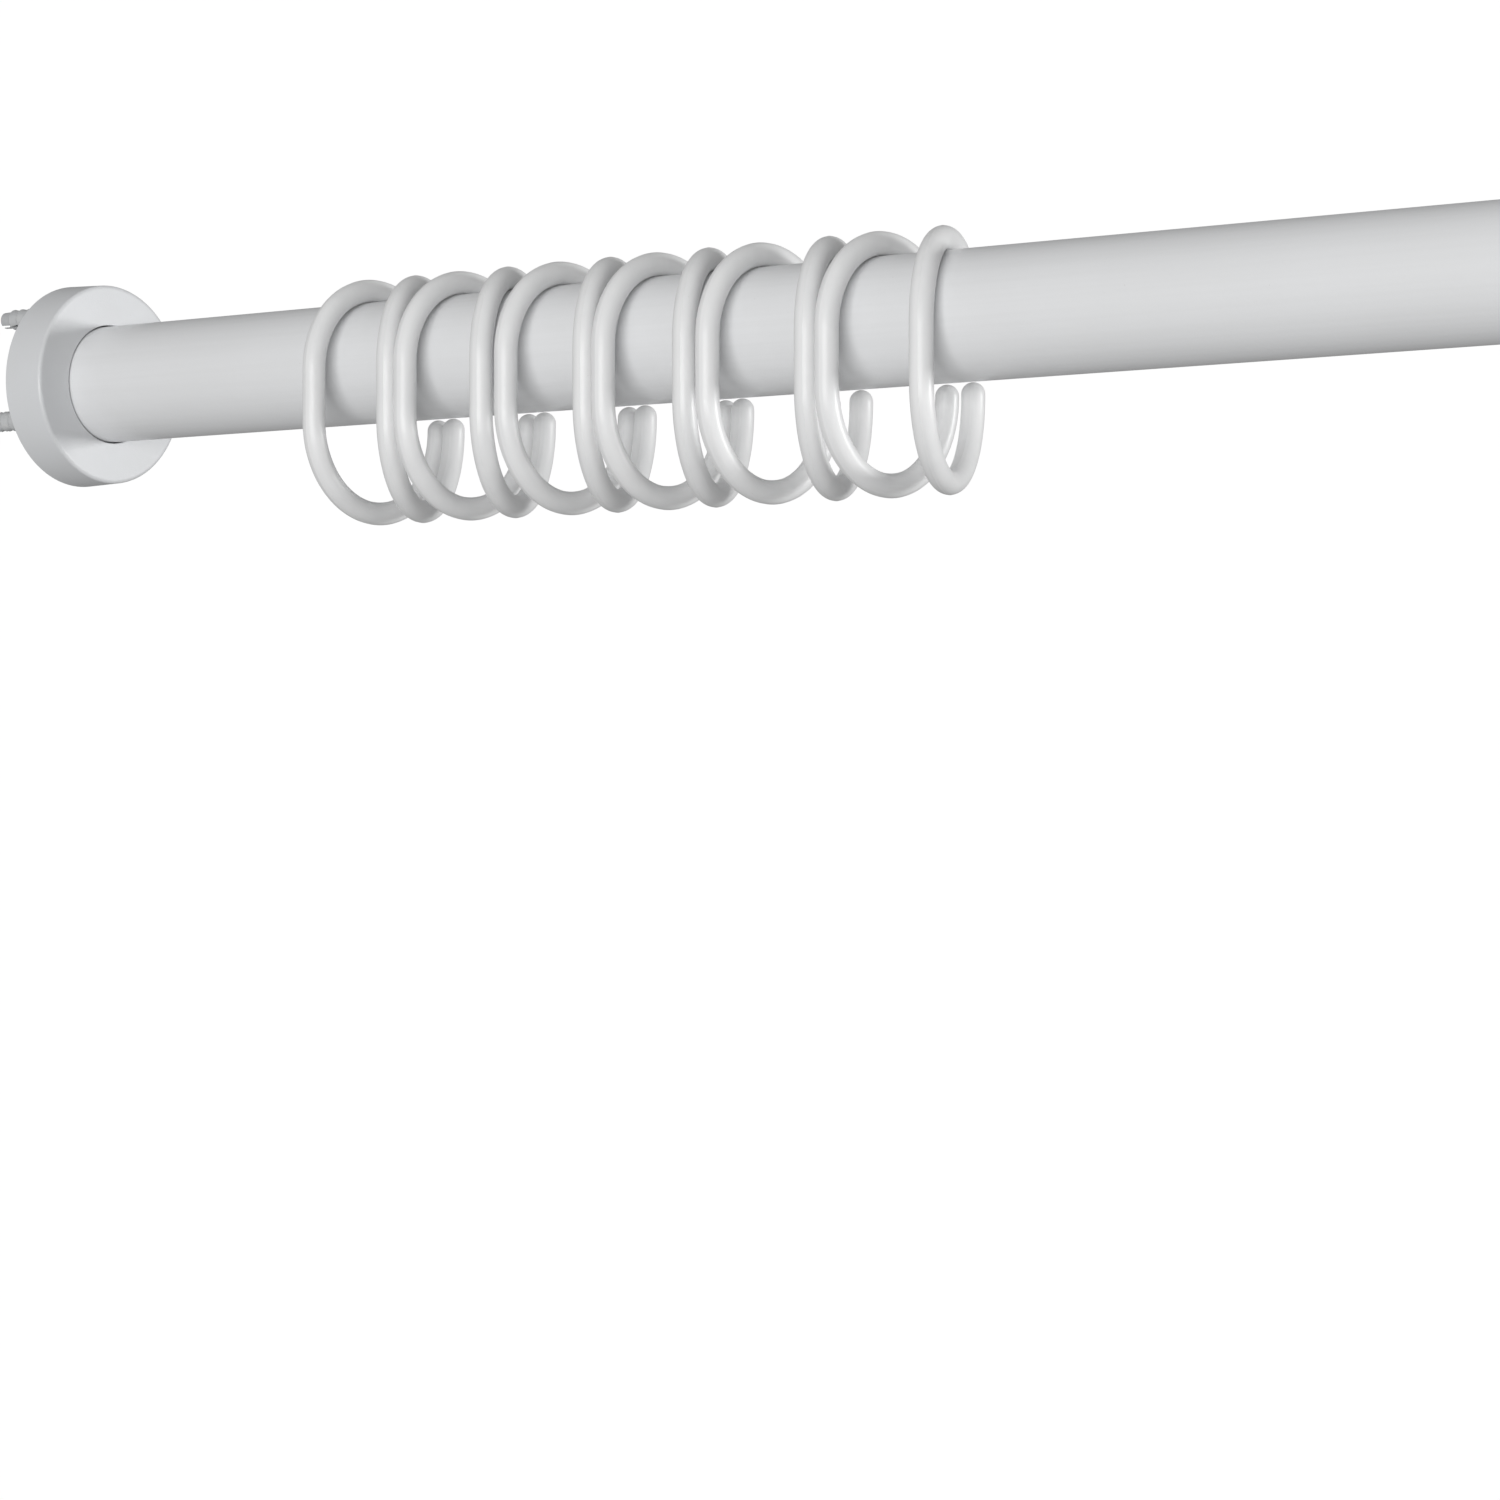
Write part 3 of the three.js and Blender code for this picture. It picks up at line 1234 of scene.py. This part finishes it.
@dataclass
class Bracket:
    """Both brackets: plate, cover and fixings, made at the left wall and turned for the right."""

    cover: Cover = field(default_factory=Cover)
    plate: WallPlate = field(default_factory=WallPlate)
    plug: WallPlug = field(default_factory=WallPlug)
    wall_screw: WallScrew = field(default_factory=WallScrew)
    lock_screw: LockScrew = field(default_factory=LockScrew)
    screw_turn: float = 37.0  # degrees from one screw's recess to the next
    end_turn: float = 20.0  # degrees either way at the two ends

    def build(self) -> None:
        """Builds every piece of both brackets and dresses it."""
        cover = self.cover.build()
        plate = self.plate.build()
        plug = self.plug.build()
        screw = self.wall_screw.build()
        lock = self.lock_screw.build()
        steel = ZincSteel().material()
        nylon = GreyNylon().material()
        alloy = CastAlloy().material()
        plastic = self._cover_material()
        for side in Side:
            whole = self._side_matrix(side)
            shell = Workshop.copy(cover, f"{side.value}_cover_shell", whole)
            Workshop.dress(shell, plastic, Slot.COVER, f"{side.value}_cover", f"{side.value}_cover")
            base = Workshop.copy(plate, f"{side.value}_plate_casting", whole)
            Workshop.dress(base, alloy, Slot.CAST, f"{side.value}_wall_plate", "rod")
            self._place_lock(side, lock, steel)
            for number in SCREW_NUMBERS:
                self._place(side, number, "screw", screw, steel, Slot.ZINC)
                self._place(side, number, "plug", plug, nylon, Slot.NYLON)
        for pattern in (cover, plate, plug, screw, lock):
            bpy.data.objects.remove(pattern)

    @staticmethod
    def _side_matrix(side: Side) -> Matrix:
        """Placing of a piece that was made at the left wall.

        Args:
            side: the end of the rod.

        Returns:
            The placing.
        """
        if side is Side.LEFT:
            return Matrix.Identity(4)
        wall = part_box("right_wall_plate")[1].x
        return Matrix.Translation((wall, 0.0, 0.0)) @ Matrix.Rotation(math.pi, 4, "Y")

    @staticmethod
    def _cover_material() -> bpy.types.Material:
        """Material of both covers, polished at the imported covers' front edges.

        Returns:
            The material.
        """
        fronts = (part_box("left_cover")[1].x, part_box("right_cover")[0].x)
        edge = radius_of("left_cover") - Cover.taper - Cover.front_edge / 2.0
        return MouldedCover(fronts, edge).material()

    @staticmethod
    def _place_lock(side: Side, lock: bpy.types.Object, steel: bpy.types.Material) -> None:
        """Places one lock screw, head towards +Y.

        Args:
            side: the end of the rod.
            lock: the pattern.
            steel: its material.
        """
        piece = Workshop.copy(lock, f"{side.value}_lock_screw_steel", lock_axis(side))
        Workshop.dress(piece, steel, Slot.ZINC, f"{side.value}_tube_lock_screw", "rod")

    def _place(
        self,
        side: Side,
        number: int,
        kind: str,
        pattern: bpy.types.Object,
        material: bpy.types.Material,
        slot: Slot,
    ) -> None:
        """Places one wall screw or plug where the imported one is.

        Args:
            side: the end of the rod.
            number: which of the fixings.
            kind: screw or plug.
            pattern: the piece about the X axis.
            material: its material.
            slot: the record's slot.
        """
        node = f"{side.value}_wall_{kind}_{number}"
        low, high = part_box(node)
        centre = (low + high) / 2.0
        mouth = high.x if side is Side.LEFT else low.x
        own = max(v.co.x for v in pattern.data.vertices)
        turned = Matrix.Identity(4) if side is Side.LEFT else Matrix.Rotation(math.pi, 4, "Y")
        spin = self.screw_turn * number + self.end_turn * side.inward
        spun = Matrix.Rotation(math.radians(spin), 4, "X")
        home = Matrix.Translation((-own, 0.0, 0.0))
        place = Matrix.Translation((mouth, centre.y, centre.z)) @ turned @ spun @ home
        piece = Workshop.copy(pattern, f"{node}_made", place)
        Workshop.dress(piece, material, slot, node, "rod")


# ------------------------------------------------------------------------------ rings


@dataclass
class CurtainRing:
    """C-shaped ring of round section, made in the YZ plane and turned about the upright."""

    wire: float = 5.2 * MM
    upper_bow: float = 19.5 * MM
    lower_bow: float = 20.2 * MM
    stub: float = 3.4 * MM
    rise: float = 2.7 * MM
    seat: float = 0.03 * MM
    yaw_odd: float = math.radians(-3.0)
    yaw_even: float = math.radians(20.0)
    ridge: float = 0.045 * MM
    ridge_half: float = math.radians(2.2)
    crest_within: float = 1e-6
    sides: int = 36
    step: float = 0.75 * MM
    dome_steps: int = 9
    pole_below: float = 1e-4
    crisp_above: float = 60.0

    def path(self) -> Callable[[float], tuple[Point2, Point2]]:
        """Middle line of the wire.

        Returns:
            A function from arc length to the point and the direction there, as (y, z) pairs.
        """
        top, bottom = self._bow_heights()
        leg = top - bottom
        shift = self.lower_bow - self.upper_bow
        upper = math.pi * self.upper_bow
        lower = math.pi * self.lower_bow

        def at(s: float) -> tuple[Point2, Point2]:
            """Point and direction at a place on the wire.

            Args:
                s: arc length from the upper back end.

            Returns:
                The point and the direction, as (y, z) pairs.
            """
            if s < self.stub:
                return (self.upper_bow, top - self.stub + s), (0.0, 1.0)
            s -= self.stub
            if s < upper:
                a = s / self.upper_bow
                point = (self.upper_bow * math.cos(a), top + self.upper_bow * math.sin(a))
                return point, (-math.sin(a), math.cos(a))
            s -= upper
            if s < leg:
                return (-self.upper_bow, top - s), (0.0, -1.0)
            s -= leg
            if s < lower:
                a = math.pi + s / self.lower_bow
                y = shift + self.lower_bow * math.cos(a)
                return (y, bottom + self.lower_bow * math.sin(a)), (-math.sin(a), math.cos(a))
            return (shift + self.lower_bow, bottom + s - lower), (0.0, 1.0)

        return at

    def length(self) -> float:
        """Length of the wire's middle line."""
        top, bottom = self._bow_heights()
        return self.stub + top - bottom + self.rise + math.pi * (self.upper_bow + self.lower_bow)

    def _bow_heights(self) -> Point2:
        """Heights of the two bows' centres.

        Returns:
            The upper one, which seats the ring on the rod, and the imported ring's lower one.
        """
        radius = self.wire / 2.0
        top = radius_of("rod_tube") + self.seat + radius - self.upper_bow
        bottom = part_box("ring_01")[0].z + self.ridge + radius + self.lower_bow
        return top, bottom

    def section(self) -> list[tuple[float, float]]:
        """Angles and radius factors round the wire, with the moulding's parting ridge.

        Returns:
            Pairs of angle and radius; the ridge lies in the ring's plane, outside and inside.
        """
        radius = self.wire / 2.0
        angles = [2.0 * math.pi * i / self.sides for i in range(self.sides)]
        for middle in (QUARTER_TURN, 3.0 * QUARTER_TURN):
            angles += [middle - self.ridge_half, middle + self.ridge_half]
        found = []
        for angle in sorted(set(angles)):
            on_ridge = math.isclose(abs(math.sin(angle)), 1.0, abs_tol=self.crest_within)
            found.append((angle, radius + self.ridge if on_ridge else radius))
        return found

    def pattern(self) -> bpy.types.Object:
        """Builds one ring in the YZ plane.

        Returns:
            The ring, without its finish.
        """
        at = self.path()
        section = self.section()
        total = self.length()
        tip = self.wire / 2.0
        mesh = bmesh.new()
        rows = []
        for s in self._stations(total, tip):
            (y, z), (dy, dz) = at(s)
            reach = min(s, total - s, tip)
            scale = math.sqrt(max(0.0, 1.0 - (1.0 - reach / tip) ** 2))
            if scale < self.pole_below:
                rows.append([mesh.verts.new((0.0, y, z))])
                continue
            row = []
            for angle, radius in section:
                side = radius * scale * math.cos(angle)
                out = radius * scale * math.sin(angle)
                row.append(mesh.verts.new((side, y + out * dz, z - out * dy)))
            rows.append(row)
        Workshop.bridge(mesh, rows, closed=False)
        return Workshop.keep("ring", mesh, self.crisp_above)

    def _stations(self, total: float, tip: float) -> list[float]:
        """Arc lengths of the sections.

        Args:
            total: the wire's length.
            tip: length of the rounding at each end.

        Returns:
            Close together at the rounded ends, even between them.
        """
        turns = [QUARTER_TURN * i / self.dome_steps for i in range(self.dome_steps + 1)]
        dome = [tip * (1.0 - math.cos(turn)) for turn in turns]
        count = round((total - 2.0 * tip) / self.step)
        even = [tip + (total - 2.0 * tip) * i / count for i in range(1, count)]
        return dome + even + [total - d for d in reversed(dome)]

    def build(self) -> None:
        """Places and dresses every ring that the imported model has."""
        pattern = self.pattern()
        plastic = RingPlastic().material()
        nodes = sorted(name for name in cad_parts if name.startswith("ring_"))
        for number, node in enumerate(nodes, start=1):
            yaw = self.yaw_odd if number % 2 else self.yaw_even
            low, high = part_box(node)
            lopsided = math.sin(yaw) * (self.lower_bow - self.upper_bow)
            station = (low.x + high.x) / 2.0 + lopsided
            place = Matrix.Translation((station, 0.0, 0.0)) @ Matrix.Rotation(yaw, 4, "Z")
            ring = Workshop.copy(pattern, f"{node}_moulding", place)
            Workshop.dress(ring, plastic, Slot.RING, node, node)
        bpy.data.objects.remove(pattern)


# ------------------------------------------------------------------------------ studio


@dataclass
class SoftLight:
    """Rectangular soft light that the camera doesn't see."""

    name: str
    place: tuple[float, float, float]
    size: tuple[float, float]
    power: float

    def build(self, aim: Vector) -> None:
        """Adds the light.

        Args:
            aim: the point that it faces.
        """
        data = bpy.data.lights.new(self.name, "AREA")
        data.shape = "RECTANGLE"
        data.size, data.size_y = self.size
        data.energy = self.power
        lamp = bpy.data.objects.new(self.name, data)
        lamp.location = self.place
        lamp.rotation_euler = (aim - Vector(self.place)).to_track_quat("-Z", "Y").to_euler()
        lamp.visible_camera = False
        bpy.context.scene.collection.objects.link(lamp)


@dataclass
class Studio:
    """Camera, floor, white surroundings and lights."""

    stand: tuple[float, float, float] = (0.852, -0.823, -0.105)
    heading: float = math.radians(38.04)
    pitch: float = math.radians(0.78)
    roll: float = math.radians(-0.14)
    lens: float = 115.4
    sensor: float = 36.0
    clip: tuple[float, float] = (0.01, 200.0)
    aim: tuple[float, float, float] = (0.25, 0.0, 0.0)
    floor_drop: float = 1.9
    floor_radius: float = 11.0
    surround_radius: float = 30.0
    ambient: float = 0.31
    lights: tuple[SoftLight, ...] = (
        SoftLight("front", (1.15, -2.9, -0.15), (2.2, 1.2), 61.0),
        SoftLight("back_right", (3.0, 1.55, 0.1), (0.7, 0.45), 52.0),
        SoftLight("above", (0.5, -0.8, 2.4), (1.4, 1.0), 3.0),
    )

    def build(self) -> None:
        """Builds the studio."""
        self._camera()
        self._surroundings()
        for light in self.lights:
            light.build(Vector(self.aim))

    def _camera(self) -> None:
        """Camera at the low, three-quarter view along the rod."""
        data = bpy.data.cameras.new("camera")
        data.lens = self.lens
        data.sensor_width = self.sensor
        data.clip_start, data.clip_end = self.clip
        camera = bpy.data.objects.new("camera", data)
        camera.location = self.stand
        heading = Matrix.Rotation(self.heading, 4, "Z")
        pitch = Matrix.Rotation(QUARTER_TURN + self.pitch, 4, "X")
        roll = Matrix.Rotation(self.roll, 4, "Z")
        camera.rotation_euler = (heading @ pitch @ roll).to_euler()
        bpy.context.scene.collection.objects.link(camera)
        bpy.context.scene.camera = camera

    def _surroundings(self) -> None:
        """Pale floor, soft grey ambient light and a white surround that only the camera sees."""
        mesh = bmesh.new()
        bmesh.ops.create_circle(mesh, cap_ends=True, segments=96, radius=self.floor_radius)
        bmesh.ops.translate(mesh, verts=mesh.verts, vec=(0.0, 0.0, -self.floor_drop))
        floor = Workshop.keep("floor", mesh)
        floor.data.materials.append(PaleFloor().material())
        floor.visible_diffuse = False
        floor.visible_glossy = False
        dome = bmesh.new()
        bmesh.ops.create_uvsphere(dome, u_segments=48, v_segments=24, radius=self.surround_radius)
        surround = Workshop.keep("surround", dome)
        surround.data.materials.append(self._white())
        for ray in ("diffuse", "glossy", "transmission", "volume_scatter", "shadow"):
            setattr(surround, f"visible_{ray}", False)
        world = bpy.data.worlds.new("studio")
        world.use_nodes = True
        background = world.node_tree.nodes["Background"]
        background.inputs["Color"].default_value = (1.0, 1.0, 1.0, 1.0)
        background.inputs["Strength"].default_value = self.ambient
        bpy.context.scene.world = world
        bpy.context.scene.view_settings.view_transform = "Standard"

    @staticmethod
    def _white() -> bpy.types.Material:
        """Plain white that gives off its own light.

        Returns:
            The material.
        """
        black = (0.0, 0.0, 0.0)
        white = (1.0, 1.0, 1.0)
        fixed = {"Base Color": black, "Emission Color": white, "Emission Strength": 1.0}
        return Graph("surround_white").finish(fixed, {})


def main() -> None:
    """Builds the studio and then every piece, in order."""
    logging.basicConfig(level=logging.INFO, format="%(name)s %(message)s")
    Studio().build()
    RodTube().build()
    Bracket().build()
    CurtainRing().build()


if __name__ == "__main__":
    main()
